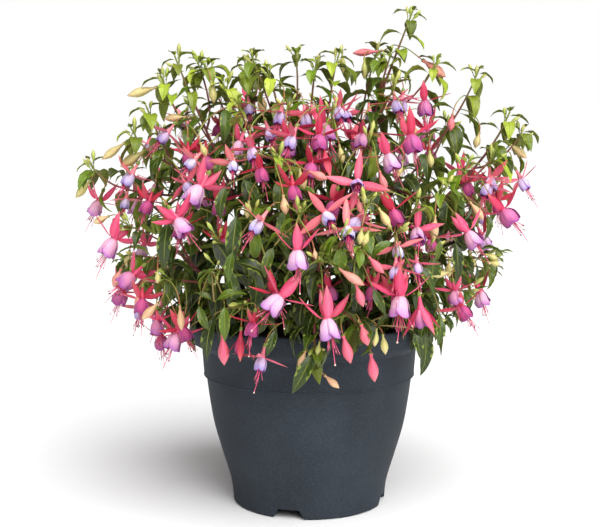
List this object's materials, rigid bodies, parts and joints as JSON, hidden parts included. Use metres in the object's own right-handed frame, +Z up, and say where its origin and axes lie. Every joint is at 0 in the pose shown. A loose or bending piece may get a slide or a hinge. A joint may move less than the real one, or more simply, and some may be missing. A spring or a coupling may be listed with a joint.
{
  "type": "potted fuchsia",
  "caption": "Bushy flowering fuchsia in a plain dark grey moulded pot, with arching leafy stems and pendent blooms and buds. It stands on its notched foot.",
  "frame": {"origin": "on the pot's axis, at the level of the pads under its foot, which is also the bottom centre of the whole plant's box", "axes": "+Z up along the pot's axis, -Y towards the viewer of the pictured side, +X to that viewer's right"},
  "size_m": [0.4631, 0.4418, 0.4887],
  "materials": {
    "pot": "fine-grained matt",
    "compost": "crumbly, damp",
    "foliage": "satin leaf",
    "bloom_pale": "soft petal",
    "bloom_young": "soft petal",
    "bloom_lilac": "soft petal",
    "bloom_violet": "soft petal",
    "bloom_plum": "soft petal",
    "bloom_crimson": "soft petal"
  },
  "bodies": {
    "root": {"pot": "pot", "compost": "compost", "leafy_stem_01": "foliage", "leafy_stem_02": "foliage", "leafy_stem_03": "foliage", "leafy_stem_04": "foliage", "leafy_stem_05": "foliage", "leafy_stem_06": "foliage", "leafy_stem_07": "foliage", "leafy_stem_08": "foliage", "leafy_stem_09": "foliage", "leafy_stem_10": "foliage", "leafy_stem_11": "foliage", "leafy_stem_12": "foliage", "leafy_stem_13": "foliage", "leafy_stem_14": "foliage", "leafy_stem_15": "foliage", "leafy_stem_16": "foliage", "bloom_01": "bloom_young", "bloom_02": "bloom_lilac", "bloom_03": "bloom_young", "bloom_04": "bloom_pale", "bloom_05": "bloom_lilac", "bloom_06": "bloom_pale", "bloom_07": "bloom_lilac", "bloom_08": "bloom_pale", "bloom_09": "bloom_young", "bloom_10": "bloom_violet", "bloom_11": "bloom_crimson", "bloom_12": "bloom_lilac", "bloom_13": "bloom_violet", "bloom_14": "bloom_young", "bloom_15": "bloom_violet", "bloom_16": "bloom_young", "bloom_17": "bloom_young", "bloom_18": "bloom_violet", "bloom_19": "bloom_plum", "bloom_20": "bloom_lilac", "bloom_21": "bloom_pale", "bloom_22": "bloom_young", "bloom_23": "bloom_crimson", "bloom_24": "bloom_lilac", "bloom_25": "bloom_young", "bloom_26": "bloom_lilac", "bloom_27": "bloom_plum", "bloom_28": "bloom_lilac", "bloom_29": "bloom_young", "bloom_30": "bloom_lilac", "bloom_31": "bloom_lilac", "bloom_32": "bloom_crimson", "bloom_33": "bloom_lilac", "bloom_34": "bloom_lilac", "bloom_35": "bloom_young", "bloom_36": "bloom_lilac", "bloom_37": "bloom_violet", "bloom_38": "bloom_crimson", "bloom_39": "bloom_violet", "bloom_40": "bloom_lilac", "bloom_41": "bloom_plum", "bloom_42": "bloom_violet"}
  },
  "joints": []
}
